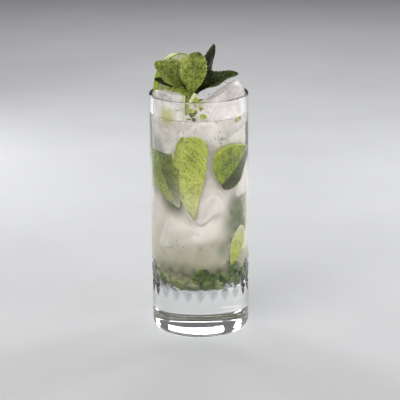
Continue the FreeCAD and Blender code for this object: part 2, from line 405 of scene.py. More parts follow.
def leaf_finish(name, dark, mid, bright, vein, gloss, vein_strength, speckles=0.5, shine=0.35):
    """A mint blade: crinkled between its paler veins, mottled, softly glossy, with a painted highlight
    along its margin and painted shade where its shade attribute is set.
    """
    f = Finish(name)
    veins, across = leaf_veins(f)
    patches = f.noise(170.0, detail=3.0, distortion=0.4)
    creases = f.cells(900.0)
    grains = f.noise(1500.0, detail=3.0, roughness=0.65)
    tone = f.maths("ADD", f.maths("MULTIPLY", patches, 0.5), f.maths("MULTIPLY", grains, 0.25))
    tone = f.maths("ADD", tone, f.level(creases, 0.1, 0.9, 0.22, 0.02))
    # Painted highlight: the blade turns paler towards its margin.
    edge_painted_highlight = f.maths("MULTIPLY", f.maths("POWER", across, 9.0), 0.16)
    blade = f.ramp(f.maths("ADD", tone, edge_painted_highlight), (0.34, dark), (0.47, mid), (0.62, bright))
    colour = f.mix(f.maths("MULTIPLY", veins, vein_strength), blade, vein)
    spots = f.noise(1000.0, detail=2.0, roughness=0.5)
    spread = f.level(f.noise(260.0, detail=2.0), 0.45, 0.62, 0.0, 1.0)
    spotted = f.maths("MULTIPLY", f.level(spots, 0.56, 0.66, 0.0, speckles), spread)
    colour = f.mix(spotted, colour, dark)
    deep = (*(SHADE_DEPTH * value for value in dark[:3]), 1)
    colour = f.mix(f.attribute("shade"), colour, deep)
    colour = f.mix(f.attribute("fog"), colour, drink_tint(f))
    height = f.maths("SUBTRACT", f.maths("MULTIPLY", grains, 0.5), f.maths("MULTIPLY", creases, 0.8))
    height = f.maths("SUBTRACT", height, f.maths("MULTIPLY", veins, 0.9))
    shader = f.principled(
        Base_Color=colour, Roughness=f.level(grains, 0.3, 0.7, gloss, gloss + 0.2),
        Specular_IOR_Level=shine, Subsurface_Weight=0.1,
        Subsurface_Radius=(0.5, 1.0, 0.2), Subsurface_Scale=0.8 * MM,
        Normal=f.bump(height, 0.8, 0.5 * MM),
    )
    return f.show(shader)


def stem_finish():
    """A mint stem: pale green with a few darker streaks along it."""
    f = Finish("mint_stem")
    stretched = f.add("ShaderNodeMapping", {
        "Vector": f.places.outputs["Object"], "Scale": (1.0, 1.0, 0.12),
    }).outputs[0]
    streaks = f.noise(900.0, detail=3.0, vector=stretched)
    colour = f.ramp(
        streaks, (0.3, srgb(96, 112, 48)), (0.55, srgb(150, 165, 92)), (0.8, srgb(188, 196, 128)),
    )
    shader = f.principled(
        Base_Color=colour, Roughness=0.42, Specular_IOR_Level=0.4,
        Normal=f.bump(streaks, 0.35, 0.2 * MM),
    )
    return f.show(shader)


def peel_finish():
    """Lime peel: yellow-green and waxy, dimpled by its oil glands."""
    f = Finish("lime_peel")
    patches = f.noise(110.0, detail=3.0)
    glands = f.cells(1100.0)
    colour = f.ramp(
        patches, (0.32, srgb(104, 138, 22)), (0.52, srgb(152, 178, 48)), (0.72, srgb(196, 206, 96)),
    )
    shader = f.principled(
        Base_Color=colour, Roughness=f.level(glands, 0.0, 0.6, 0.42, 0.28),
        Coat_Weight=0.25, Coat_Roughness=0.2, Normal=f.bump(glands, 0.4, 0.25 * MM),
    )
    return f.show(shader)


def pith_finish():
    """The pale pith and the membranes between the segments."""
    f = Finish("lime_pith")
    fibres = f.noise(600.0, detail=4.0)
    colour = f.ramp(fibres, (0.35, srgb(226, 230, 172)), (0.7, srgb(248, 248, 218)))
    shader = f.principled(
        Base_Color=colour, Roughness=0.55, Subsurface_Weight=0.3,
        Subsurface_Radius=(1.0, 1.0, 0.6), Subsurface_Scale=1.5 * MM,
        Normal=f.bump(fibres, 0.3, 0.2 * MM),
    )
    return f.show(shader)


def pressed_lime_finish(name, dark, mid, bright, veil):
    """Muddled lime: peel and pulp pressed together; veil: how much of the cloudy drink covers it."""
    f = Finish(name)
    patches = f.noise(130.0, detail=3.0, distortion=0.8)
    fibres = f.noise(700.0, detail=3.0)
    colour = f.ramp(patches, (0.36, dark), (0.50, mid), (0.64, bright))
    colour = f.mix(veil, colour, drink_tint(f))
    shader = f.principled(
        Base_Color=colour, Roughness=f.level(fibres, 0.3, 0.7, 0.4, 0.6),
        Normal=f.bump(fibres, 0.4, 0.4 * MM),
    )
    return f.show(shader)


def flesh_finish():
    """Juicy lime flesh: long vesicles that point to the wheel's middle."""
    f = Finish("lime_flesh")
    split = f.add("ShaderNodeSeparateXYZ", {"Vector": f.places.outputs["UV"]})
    from_middle = f.add("ShaderNodeCombineXYZ", {
        "X": f.maths("MULTIPLY", split.outputs["X"], 42.0),
        "Y": f.maths("MULTIPLY", split.outputs["Y"], 5.0),
    }).outputs[0]
    vesicles = f.cells(1.0, vector=from_middle)
    blush = f.noise(1.3, detail=3.0, vector=from_middle)
    colour = f.mix(f.level(vesicles, 0.0, 0.7, 0.0, 1.0), srgb(220, 230, 104), srgb(246, 248, 186))
    colour = f.mix(f.level(blush, 0.35, 0.7, 0.0, 0.5), colour, srgb(172, 188, 60))
    shader = f.principled(
        Base_Color=colour, Roughness=f.level(blush, 0.3, 0.7, 0.2, 0.34), IOR=1.36,
        Transmission_Weight=0.08,
        Subsurface_Weight=0.6, Subsurface_Radius=(1.0, 1.0, 0.5), Subsurface_Scale=3 * MM,
        Normal=f.bump(vesicles, 0.6, 0.4 * MM),
    )
    return f.show(shader)


def bubble_finish():
    """Air bubbles in the drink: clear, with bright rims."""
    f = Finish("air_bubble")
    shader = f.principled(
        Base_Color=(0.98, 0.98, 0.97, 1), Transmission_Weight=1.0, IOR=1.12,
        Roughness=f.level(f.noise(900.0), 0.3, 0.7, 0.0, 0.08),
    )
    return f.show_clear(shader, (0.92, 0.93, 0.92, 1))


def floor_finish():
    """The pale matt floor."""
    f = Finish("studio_floor")
    grain = f.noise(9.0, detail=3.0)
    colour = f.ramp(grain, (0.3, srgb(196, 197, 199)), (0.7, srgb(202, 203, 205)))
    return f.show(f.principled(Base_Color=colour, Roughness=0.6, Specular_IOR_Level=0.25))


CRYSTAL = crystal_finish()
LIQUID = liquid_finish()
CLOUD = cloud_finish()
TOP_ICE = ice_finish("ice_wet", 0.42, 0.2)
# The lime's colour painted on the ice beside it, as if seen through it: where, how far and in what colour.
PAINTED_LIME_VIEW = (Vector((-20.5, -22.0, 144.5)) * MM, 8.5 * MM, srgb(176, 184, 92))
ICE_BY_LIME = ice_finish("ice_by_lime", 0.45, 0.2, PAINTED_LIME_VIEW)
SUNK_ICE_FINISH = sunk_ice_finish()
# Mint: dark, middle and bright green, the veins' colour, then gloss, veins, speckles and shine.
LEAF_TOP = leaf_finish(
    "mint_upper", srgb(48, 62, 4), srgb(120, 136, 38), srgb(184, 196, 96), srgb(200, 210, 130),
    0.34, 0.75, 0.6,
)
# A darker copy of the upper side for leaves that lie in shade: painted shade.
LEAF_PAINTED_SHADE = leaf_finish(
    "mint_upper_painted_shade", srgb(14, 22, 3), srgb(44, 56, 12), srgb(92, 106, 42), srgb(128, 140, 78),
    0.34, 0.6,
)
LEAF_UNDER = leaf_finish(
    "mint_under", srgb(48, 60, 22), srgb(84, 100, 44), srgb(128, 142, 82), srgb(150, 162, 104),
    0.5, 0.7,
)
LEAF_MUDDLED = leaf_finish(
    "mint_muddled", srgb(20, 38, 2), srgb(70, 98, 12), srgb(134, 158, 42), srgb(150, 172, 74),
    0.42, 0.6, 0.7, 0.15,
)
LEAF_SUNK_TOP = leaf_finish(
    "mint_sunk_upper", srgb(50, 70, 8), srgb(118, 138, 24), srgb(178, 190, 62), srgb(188, 200, 92),
    0.45, 0.5, 0.8, 0.1,
)
LEAF_SUNK_UNDER = leaf_finish(
    "mint_sunk_under", srgb(110, 124, 24), srgb(186, 198, 72), srgb(212, 220, 102),
    srgb(226, 232, 142), 0.5, 0.75, 0.95, 0.12,
)
STEM = stem_finish()
PEEL = peel_finish()
PITH = pith_finish()
FLESH = flesh_finish()
PRESSED_LIME = pressed_lime_finish(
    "pressed_lime", srgb(64, 78, 24), srgb(108, 114, 60), srgb(144, 146, 104), 0.35
)
LIME_SCRAP = pressed_lime_finish(
    "lime_scrap", srgb(126, 140, 20), srgb(186, 188, 62), srgb(226, 218, 140), 0.08
)
BUBBLE = bubble_finish()

# ---------------------------------------------------------------- the glass and what fills it

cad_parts["glass"].material_slots[0].material = CRYSTAL


def cavity_profile(inset, low_inset=None):
    """(radius, height) points from the floor's middle up the inner wall, moved inwards by inset.

    low_inset: the inset in the floor's rounding, where it differs.
    """
    flat = LOW_INNER_RADIUS - FLOOR_ROUNDING
    corner = (flat, FLOOR + FLOOR_ROUNDING)
    low_inset = low_inset or inset
    rounding = FLOOR_ROUNDING - low_inset
    return [
        (0, FLOOR + low_inset), (flat * 0.5, FLOOR + low_inset),
        *arc_points(corner, rounding, -90, 0, FLOOR_ROUNDING_STEPS),
        (LOW_INNER_RADIUS - inset, LOW_WALL_TOP),
        (INNER_RADIUS - inset, WALL_TAPER_TOP),
    ]


def make_liquid():
    """The clear drink: it reaches just into the wall and climbs it a little at its surface."""
    edge = INNER_RADIUS + LIQUID_IN_WALL
    profile = cavity_profile(-LIQUID_IN_WALL)
    for index in range(MENISCUS_STEPS + 1):
        share = index / MENISCUS_STEPS
        rise = MENISCUS_RISE * (1 - share) ** 2.2
        profile.append((edge - MENISCUS_REACH * share, LEVEL + rise))
    profile += [(INNER_RADIUS * 0.5, LEVEL), (0, LEVEL)]
    finish_piece("drink_liquid", spun(LIQUID_STEPS, profile), [LIQUID], "drink")


# The cloudy body stays this far inside the wall, so that leaves and ice show before it.
CLOUD_INSET = 2.7 * MM
CLOUD_LOW_INSET = 4.2 * MM
CLOUD_TOP_DEPTH = 1.4 * MM
CLOUD_TOP_ROUNDING = 2 * MM
CLOUD_RING_HEIGHT = 1.3 * MM
CLOUD_STEPS = 192
CLOUD_SINK = 0.6 * MM
# Its lumps, from large to small, then those of its surface: height, width and seed.
CLOUD_LUMPS = ((0.7 * MM, 16 * MM, 1.0), (0.25 * MM, 6 * MM, 2.0))
CLOUD_TOP_LUMPS = (0.5 * MM, 8 * MM, 3.0)
# How far it bulges where sunk ice presses it outwards.
ICE_PRESS = 0.9 * MM
# How deep in the drink the middle of a sunk piece of ice lies, as a share of its size.
SUNK_ICE_DEPTH = 0.56

# Leaves that hang deep in the drink only tint it: heading on the wall (degrees from the front,
# + to the right), height, half width and half height in mm, lean in degrees and strength.
DEEP_LEAVES = (
    (-38, 92, 11, 12, 28, 0.75),
    (60, 77, 13, 17, -8, 1.0),
    (40, 58, 8, 7, 20, 0.55),
    (-76, 106, 8, 17, 6, 0.6),
    (120, 100, 10, 18, 20, 0.7),
    (168, 84, 12, 13, -30, 0.6),
    (-132, 70, 10, 16, 12, 0.7),
    (-150, 118, 9, 11, -20, 0.5),
    (-36, 42, 17, 8, 0, 0.45),
    (18, 40, 14, 8, 0, 0.35),
)
# Painted shade along the edges of deep ice and painted light on its faces: heading, height, half length and
# half width in mm, lean and darkness; a negative darkness is a painted bright face.
PAINTED_ICE_SHADE_AND_LIGHT = (
    (6, 128, 12, 2.6, -32, 0.42),
    (-30, 124, 9, 5, -10, 0.25),
    (34, 132, 13, 8, -8, -0.75),
    (8, 72, 11, 8, 10, -0.7),
    (10, 62, 8, 5, 0, 0.30),
    (-30, 70, 12, 9, 0, -0.35),
    (20, 112, 8, 9, 12, -0.35),
    (72, 88, 6, 14, 5, 0.30),
    (-100, 120, 14, 5, 25, 0.35),
    (130, 126, 14, 6, -20, 0.30),
    (170, 60, 14, 8, 10, -0.5),
    (-120, 96, 12, 6, -15, -0.5),
    (95, 60, 10, 7, 0, -0.45),
)


def soft_spot(angle, height, spot):
    """How much of a deep shape shows at a place on the wall, from 0 to 1."""
    heading, middle, half_width, half_height, lean = spot[:5]
    turn = (angle - math.radians(heading - 90) + math.pi) % (2 * math.pi) - math.pi
    across = turn * INNER_RADIUS / MM
    up = height / MM - middle
    lean = math.radians(lean)
    along = across * math.cos(lean) + up * math.sin(lean)
    over = up * math.cos(lean) - across * math.sin(lean)
    distance = math.hypot(along / half_width, over / half_height)
    return 1 - smooth_step(0.55, 1.35, distance)


def ice_turn(tilt, turn, lean):
    """A turn that tilts a block in the X-Z plane, leans it in Y-Z and turns it about Z."""
    return (
        Matrix.Rotation(math.radians(turn), 3, "Z")
        @ Matrix.Rotation(math.radians(-tilt), 3, "Y")
        @ Matrix.Rotation(math.radians(lean), 3, "X")
    )


# Ice packed down the glass: heading and height of each piece's middle (degrees from the front, mm),
# its size in mm, tilt, turn and lean.
SUNK_ICE = (
    (42, 126, 26, -14, 30, 8), (-62, 116, 25, 20, -40, -12), (8, 84, 24, 30, 10, 20),
    (-34, 66, 26, -22, -20, 14), (82, 98, 24, 12, 60, -18), (60, 58, 23, -16, 70, 24),
    (-100, 84, 25, 26, -84, 10), (122, 126, 26, 18, 110, -20), (176, 112, 27, -24, 170, 12),
    (146, 84, 25, 14, 150, 26), (-140, 120, 25, -10, -130, 16), (-150, 66, 26, 24, -160, -14),
    (112, 62, 24, -20, 120, 10), (178, 56, 24, 8, 180, -24), (-4, 128, 24, 34, 0, 10),
)


def wall_place(heading, height, gap):
    """A point inside the glass at a heading from the front, a height and a gap from the wall (mm)."""
    angle = math.radians(heading - 90)
    radius = INNER_RADIUS - gap * MM
    return Vector((radius * math.cos(angle), radius * math.sin(angle), height * MM))


def ice_middle(heading, height, size):
    """The middle of a sunk piece of ice."""
    return wall_place(heading, height, size * SUNK_ICE_DEPTH)


def ice_press(place):
    """How far a sunk piece of ice stands out before the cloud at a place on it, 0 to 1."""
    most = 0.0
    for heading, height, size, tilt, turn, lean in SUNK_ICE:
        inward = ice_turn(tilt, turn, lean).transposed() @ (place - ice_middle(heading, height, size))
        far = max(abs(value) for value in inward) - size * 0.5 * MM
        most = max(most, 1 - smooth_step(-4.0 * MM, 1.2 * MM, far))
    return most


def tinted(angle, height, spots, sign=1):
    """How strongly a list of deep shapes tints a place on the wall; sign picks dark or bright ones."""
    return sum(max(0, sign * spot[5]) * soft_spot(angle, height, spot) for spot in spots)


def make_cloud():
    """The cloudy body of the drink, uneven like the melting ice that it surrounds."""
    profile = cavity_profile(CLOUD_INSET, CLOUD_LOW_INSET)
    top = LEVEL - CLOUD_TOP_DEPTH
    wall = INNER_RADIUS - CLOUD_INSET
    rings = round((top - CLOUD_TOP_ROUNDING - WALL_TAPER_TOP) / CLOUD_RING_HEIGHT)
    for index in range(1, rings + 1):
        profile.append((wall, WALL_TAPER_TOP + CLOUD_RING_HEIGHT * index))
    corner = (wall - CLOUD_TOP_ROUNDING, top - CLOUD_TOP_ROUNDING)
    profile += arc_points(corner, CLOUD_TOP_ROUNDING, 20, 90, 4)
    profile += [(wall * share, top) for share in (0.8, 0.65, 0.5, 0.35, 0.2, 0)]
    bm = spun(CLOUD_STEPS, profile)
    # The long faces low on the wall are cut finer, so that the lumps show there too.
    low = [v for v in bm.verts if v.co.z < WALL_TAPER_TOP and v.co.xy.length > wall * 0.5]
    edges = {e for v in low for e in v.link_edges if abs(e.verts[0].co.z - e.verts[1].co.z) > 5 * MM}
    bmesh.ops.subdivide_edges(bm, edges=list(edges), cuts=8, use_grid_fill=True)
    leaf_layer = bm.verts.layers.float.new("leaf_shade")
    painted_shade_layer = bm.verts.layers.float.new("ice_shade")
    painted_light_layer = bm.verts.layers.float.new("ice_light")
    for vert in bm.verts:
        place = vert.co.copy()
        angle = math.atan2(place.y, place.x)
        drift = 1 + 0.35 * wobble(place, 9 * MM, 4.0)
        pressed = ice_press(place)
        vert[leaf_layer] = min(0.95, tinted(angle, place.z, DEEP_LEAVES) * drift)
        # Painted shade along deep ice edges; painted light on deep ice faces and where sunk ice presses the
        # cloud outwards.
        vert[painted_shade_layer] = min(0.8, tinted(angle, place.z, PAINTED_ICE_SHADE_AND_LIGHT) * drift)
        vert[painted_light_layer] = min(0.9, tinted(angle, place.z, PAINTED_ICE_SHADE_AND_LIGHT, -1) * drift + 0.3 * pressed)
        outward = Vector((place.x, place.y, 0))
        if outward.length > 5 * MM:
            lumps = sum(rise * wobble(place, width, seed) for rise, width, seed in CLOUD_LUMPS)
            vert.co += outward.normalized() * (lumps - CLOUD_SINK + ICE_PRESS * pressed)
        if place.z > top - 1 * MM:
            rise, width, seed = CLOUD_TOP_LUMPS
            vert.co.z += rise * wobble(place, width, seed)
    finish_piece("drink_cloud", bm, [CLOUD])


make_liquid()
make_cloud()

# ---------------------------------------------------------------- ice

# How far out the ice may reach, above and under the surface.
ICE_ROOM = INNER_RADIUS - 0.5 * MM
SUNK_ICE_ROOM = INNER_RADIUS - 2.6 * MM
SUNK_ICE_FOG = INNER_RADIUS - 3.2 * MM
TOP_MELT = 0.9 * MM
SUNK_MELT = 1.4 * MM
SUNK_ROUNDNESS = 0.5


def ice_cube(bm, centre, size, turn, seed, roundness, room, melt):
    """Adds a block of ice to bm: rounded, dented by melting, and trimmed to the glass's room."""
    made = bmesh.ops.create_cube(bm, size=1.0)
    verts = made["verts"]
    bmesh.ops.scale(bm, vec=size, verts=verts)
    edges = list({e for v in verts for e in v.link_edges})
    rounding = min(size) * roundness * 0.5
    bmesh.ops.bevel(
        bm, geom=edges, offset=rounding, segments=4, profile=0.5, affect="EDGES", material=-1,
        clamp_overlap=True,
    )
    edges = list({e for v in new_verts(bm) for e in v.link_edges if e.calc_length() > 3 * MM})
    bmesh.ops.subdivide_edges(bm, edges=edges, cuts=9, use_grid_fill=True)
    block = new_verts(bm)
    done = bm.verts.layers.int.get("done")
    fog = bm.verts.layers.float.get("fog")
    for vert in block:
        dent = melt * wobble(vert.co, 11 * MM, seed) + 0.3 * melt * wobble(vert.co, 4 * MM, seed + 9)
        vert.co += vert.co.normalized() * dent
        vert.co = turn @ vert.co + centre
        radius = vert.co.xy.length
        if radius > room:
            vert.co.xy *= room / radius
        vert[done] = 1
        vert[fog] = 1 - smooth_step(SUNK_ICE_FOG, SUNK_ICE_ROOM, vert.co.xy.length)


def new_verts(bm):
    """The vertices of the block being added to bm: those that aren't marked as done."""
    done = bm.verts.layers.int.get("done")
    return [v for v in bm.verts if v[done] == 0]


def new_block_mesh():
    """An empty bmesh with the layers that ice_cube fills."""
    bm = bmesh.new()
    bm.verts.layers.int.new("done")
    bm.verts.layers.float.new("fog")
    return bm


def top_ice(node, finish, centre, size, turn, seed, roundness):
    """A piece of ice that stands above the rim: its centre in mm, height from the rim, and its size."""
    bm = new_block_mesh()
    x, y, z = centre
    middle = Vector((x * MM, y * MM, RIM + z * MM))
    ice_cube(bm, middle, [side * MM for side in size], turn, seed, roundness, ICE_ROOM, TOP_MELT)
    finish_piece(node + "_piece", bm, [finish], node)


def make_top_ice():
    """The two pieces of ice that stand above the rim."""
    top_ice("ice_right", TOP_ICE, (16.2, -11.0, -11.2), (36, 27, 26), ice_turn(33.5, -6, 0), 11.0, 0.3)
    top_ice("ice_left", ICE_BY_LIME, (-20.2, -15.0, -15.6), (18.5, 19, 38), ice_turn(-3, 9, 0), 23.0, 0.32)


def make_sunk_ice():
    """The ice packed down the glass, as one piece."""
    bm = new_block_mesh()
    source = rng("sunk ice")
    for index, (heading, height, size, tilt, turn, lean) in enumerate(SUNK_ICE):
        centre = ice_middle(heading, height, size)
        sides = [size * MM * source.uniform(0.9, 1.0) for _ in range(3)]
        pose = ice_turn(tilt, turn, lean)
        ice_cube(bm, centre, sides, pose, 31.0 + index, SUNK_ROUNDNESS, SUNK_ICE_ROOM, SUNK_MELT)
    finish_piece("ice_sunk", bm, [SUNK_ICE_FINISH])


make_top_ice()
make_sunk_ice()

# ---------------------------------------------------------------- mint leaves

# Each kind of leaf: how many faces its blade has across and along.
SPRIG_GRID = (24, 64)
WALL_GRID = (22, 56)
MUDDLED_GRID = (18, 40)
SCRAP_GRID = (8, 14)
LEAF_TEETH = 14
MIDRIB_WIDTH = 0.07
LEAF_THICKNESS = 0.35 * MM
WET_LEAF_THICKNESS = 0.3 * MM
SCRAP_THICKNESS = 0.22 * MM


def leaf_outline(share, fullness):
    """Half the blade's width at a share of its length, as a share of its widest.

    fullness: 1 for a usual leaf, more for one that is widest near its tip, less near its base.
    """
    low, high = 0.62 * fullness, 1.0
    widest = (low / (low + high)) ** low * (high / (low + high)) ** high
    return share**low * (1 - share) ** high / widest


def jagged(along, across):
    """Small uneven teeth along a blade's margin, -1 to 1."""
    tooth = (along * LEAF_TEETH + 0.3 * math.sin(9 * along + across)) % 1.0
    return 2 * tooth - 1


def flat_leaf(bm, length, width, quilt, seed, teeth=0.07, fullness=1.0, uneven=0.0, grid=SPRIG_GRID):
    """Adds one flat blade to bm, growing along +Y from the origin with its face up.

    quilt: how high it stands between its veins. teeth: how far they stand out, as a share of its
    width. uneven: how much wider its right half is. Returns its vertices, each with its place
    across (-1 to 1) and along (0 to 1).
    """
    for layer in ("shade", "fog"):
        if bm.verts.layers.float.get(layer) is None:
            bm.verts.layers.float.new(layer)
    made = bmesh.ops.create_grid(bm, x_segments=grid[0], y_segments=grid[1], size=0.5)
    uv = bm.loops.layers.uv.verify()
    placed = []
    for vert in made["verts"]:
        across, along = vert.co.x * 2, vert.co.y + 0.5
        for loop in vert.link_loops:
            loop[uv].uv = (across * 0.5 + 0.5, along)
        placed.append((vert, across, along))
    for vert, across, along in placed:
        side = 1 if across > 0 else -1
        half = leaf_outline(0.015 + 0.97 * along, fullness) * width / 2 * (1 + uneven * side)
        margin = abs(across) ** 3
        tooth = jagged(along, across)
        half *= 1 + teeth * margin * tooth
        y = along * length + teeth * length * 0.08 * margin * tooth
        vein = (along - VEIN_SWEEP * abs(across) ** 1.15) * VEIN_PAIRS
        pillow = abs(math.sin(math.pi * vein)) ** 0.6 * math.sin(math.pi * min(1, abs(across))) ** 0.6
        place = Vector((across * width, along * length, 0))
        z = quilt * (pillow + 0.55 * wobble(place, width * 0.12, seed))
        z -= quilt * 0.9 * math.exp(-((across / MIDRIB_WIDTH) ** 2)) * (1 - along * 0.6)
        vert.co = Vector((across * half, y, z))
    return placed


def shade_leaf(bm, placed, shade):
    """Darkens a blade: shade gives how much at each place across (-1 to 1) and along (0 to 1)."""
    layer = bm.verts.layers.float.get("shade")
    for vert, across, along in placed:
        vert[layer] = shade(across, along)


def bend_leaf(placed, length, curl, fold, ruffle, twist, seed, curl_from=0.0):
    """Folds the blade's halves up, ruffles its margin, then bends it down along its length.

    curl, fold and twist are in degrees; the bend starts at curl_from, a share of the length.
    """
    straight = curl_from * length
    for vert, across, along in placed:
        x, y, z = vert.co
        side = 2.1 if across > 0 else 0
        z += abs(x) * math.tan(math.radians(fold))
        z += ruffle * abs(across) ** 1.7 * math.sin(along * 13 + seed * 1.7 + side)
        turn = math.radians(twist) * along
        x, z = x * math.cos(turn) - z * math.sin(turn), x * math.sin(turn) + z * math.cos(turn)
        if curl and y > straight:
            radius = (length - straight) / math.radians(curl)
            angle = (y - straight) / radius
            y = straight + (radius + z) * math.sin(angle)
            z = (radius + z) * math.cos(angle) - radius
        vert.co = Vector((x, y, z))


def midrib_tip(length, curl, curl_from):
    """Where the midrib's end comes to after the bend."""
    straight = curl_from * length
    radius = (length - straight) / math.radians(curl)
    angle = (length - straight) / radius
    return Vector((0, straight + radius * math.sin(angle), radius * math.cos(angle) - radius))


def place_leaf(placed, tip_now, base, tip, facing):
    """Turns and scales a bent blade so that its midrib runs from base to tip."""
    chord = tip - base
    along = chord.normalized()
    face = (facing - along * facing.dot(along)).normalized()
    side = along.cross(face)
    world = Matrix((side, along, face)).transposed()
    y = tip_now.normalized()
    z = Vector((1, 0, 0)).cross(y)
    local = Matrix((Vector((1, 0, 0)), y, z)).transposed()
    turn = world @ local.transposed()
    scale = chord.length / tip_now.length
    for vert, _, _ in placed:
        vert.co = base + (turn @ vert.co) * scale


def leaf_piece(name, bm, materials, thickness, node=None):
    """Finishes a piece made of blades: materials are those of its face and its underside."""
    thicken(finish_piece(name, bm, materials, node), thickness)


def grown_leaf(name, base, tip, facing, width, curl, fold=14, ruffle=0.8, twist=0, quilt=0.5, seed=1.0,
               curl_from=0.0, fullness=1.0, uneven=0.0, materials=None, shade=None):
    """One leaf of the sprig. Places are in mm, heights from the rim; widths are in mm.

    facing: the way its face looks. shade: how dark it is at each place across and along.
    """
    bm = bmesh.new()
    base, tip = (Vector((p[0], p[1], RIM / MM + p[2])) * MM for p in (base, tip))
    length = (tip - base).length
    placed = flat_leaf(bm, length, width * MM, quilt * MM, seed, fullness=fullness, uneven=uneven)
    if shade:
        shade_leaf(bm, placed, shade)
    bend_leaf(placed, length, curl, fold, ruffle * MM, twist, seed, curl_from)
    place_leaf(placed, midrib_tip(length, curl, curl_from), base, tip, Vector(facing))
    leaf_piece(name, bm, materials or [LEAF_TOP, LEAF_UNDER], LEAF_THICKNESS, "mint_sprig")


def make_sprig_leaves():
    """The sprig's eight leaves, those at the front first."""
    # Leaves in shade take the darker copy of the upper side: painted shade.
    dark = [LEAF_PAINTED_SHADE, LEAF_UNDER]
    grown_leaf(
        "mint_leaf_left", (-9.5, -7.0, 6.0), (-27.0, -8.0, 20.5), (-0.25, -0.75, 0.6), 15.5, curl=34,
        fold=8, ruffle=1.0, twist=-10, quilt=0.8, seed=3.0, fullness=1.5, uneven=0.2,
        shade=lambda across, along: 0.15 + 0.35 * (1 - along),
    )
    grown_leaf(
        "mint_leaf_front", (-5.5, -7.5, -3.0), (1.0, -4.5, 25.5), (-0.2, -0.95, 0.22), 16.5, curl=58,
        fold=10, ruffle=0.9, quilt=0.75, seed=5.0, curl_from=0.5, fullness=2.8, uneven=-0.1,
        shade=lambda across, along: 0.25 * smooth_step(0.3, 1.0, abs(across)) * (1 - along),
    )
    grown_leaf(
        "mint_leaf_tall", (-1.5, -1.5, -1.0), (10.3, 2.0, 29.6), (-0.62, 0.75, 0.0), 13.5, curl=-18,
        fold=24, ruffle=0.6, seed=7.0, materials=[LEAF_PAINTED_SHADE, LEAF_PAINTED_SHADE],
        shade=lambda across, along: 0.8 * (1 - abs(across) ** 3),
    )
    grown_leaf(
        "mint_leaf_right", (-1.5, 1.0, 1.0), (24.8, 4.0, 10.5), (-0.25, -0.55, 0.8), 12.5, curl=26,
        fold=22, ruffle=0.9, quilt=0.6, seed=9.0, twist=-10, fullness=0.8, materials=dark,
    )
    grown_leaf(
        "mint_leaf_low_left", (-8.0, -3.5, 3.0), (-27.5, -8.0, 10.0), (0.15, -0.75, 0.6), 8.5, curl=16,
        fold=26, ruffle=0.7, seed=11.0, materials=dark, shade=lambda across, along: 0.35,
    )
    grown_leaf(
        "mint_leaf_small", (-7.5, -7.5, 0.5), (-19.0, -13.5, 5.0), (0.25, -0.6, 0.75), 7.0, curl=26,
        ruffle=0.3, quilt=0.3, seed=13.0,
    )
    grown_leaf(
        "mint_leaf_back", (-3.5, 2.0, 4.0), (2.0, 12.0, 21.0), (0.1, 0.75, 0.6), 14, curl=34, seed=15.0,
        materials=dark,
    )
    grown_leaf(
        "mint_leaf_behind_left", (-8.0, 0.0, 4.0), (-18.0, 1.0, 21.5), (-0.1, -0.95, 0.35), 13, curl=24,
        seed=17.0, materials=[LEAF_UNDER, LEAF_PAINTED_SHADE],
    )


# The stem's line, in mm with heights from the rim, and its radius.
STEM_LINE = ((-8.0, -7.4, -29), (-7.8, -5.4, -16), (-7.2, -3.8, -3), (-6.0, -1.8, 8), (-4.6, 0.2, 16))
STEM_RADIUS = 1.35 * MM


def make_stem():
    """The stem: round, from the drink up to the leaves, and cut off square at its ends."""
    curve = bpy.data.curves.new("stem_line", "CURVE")
    curve.dimensions = "3D"
    line = curve.splines.new("NURBS")
    line.points.add(len(STEM_LINE) - 1)
    for point, (x, y, z) in zip(line.points, STEM_LINE):
        point.co = (x * MM, y * MM, RIM + z * MM, 1)
    line.order_u = 3
    line.use_endpoint_u = True
    curve.bevel_depth = STEM_RADIUS
    curve.bevel_resolution = 3
    curve.resolution_u = 10
    curve.use_fill_caps = True
    holder = bpy.data.objects.new("stem_holder", curve)
    mesh = bpy.data.meshes.new_from_object(holder)
    bm = bmesh.new()
    bm.from_mesh(mesh)
    bpy.data.objects.remove(holder)
    bmesh.ops.remove_doubles(bm, verts=bm.verts, dist=0.01 * MM)
    finish_piece("mint_stem", bm, [STEM], "mint_sprig", sharp_angle=50)


make_sprig_leaves()
make_stem()


# What the leaves on the wall share: their fold in degrees, their ruffle and their gap from the glass.
WALL_LEAF_FOLD = 2
WALL_LEAF_RUFFLE = 0.25 * MM
WALL_LEAF_GAP = 0.25 * MM


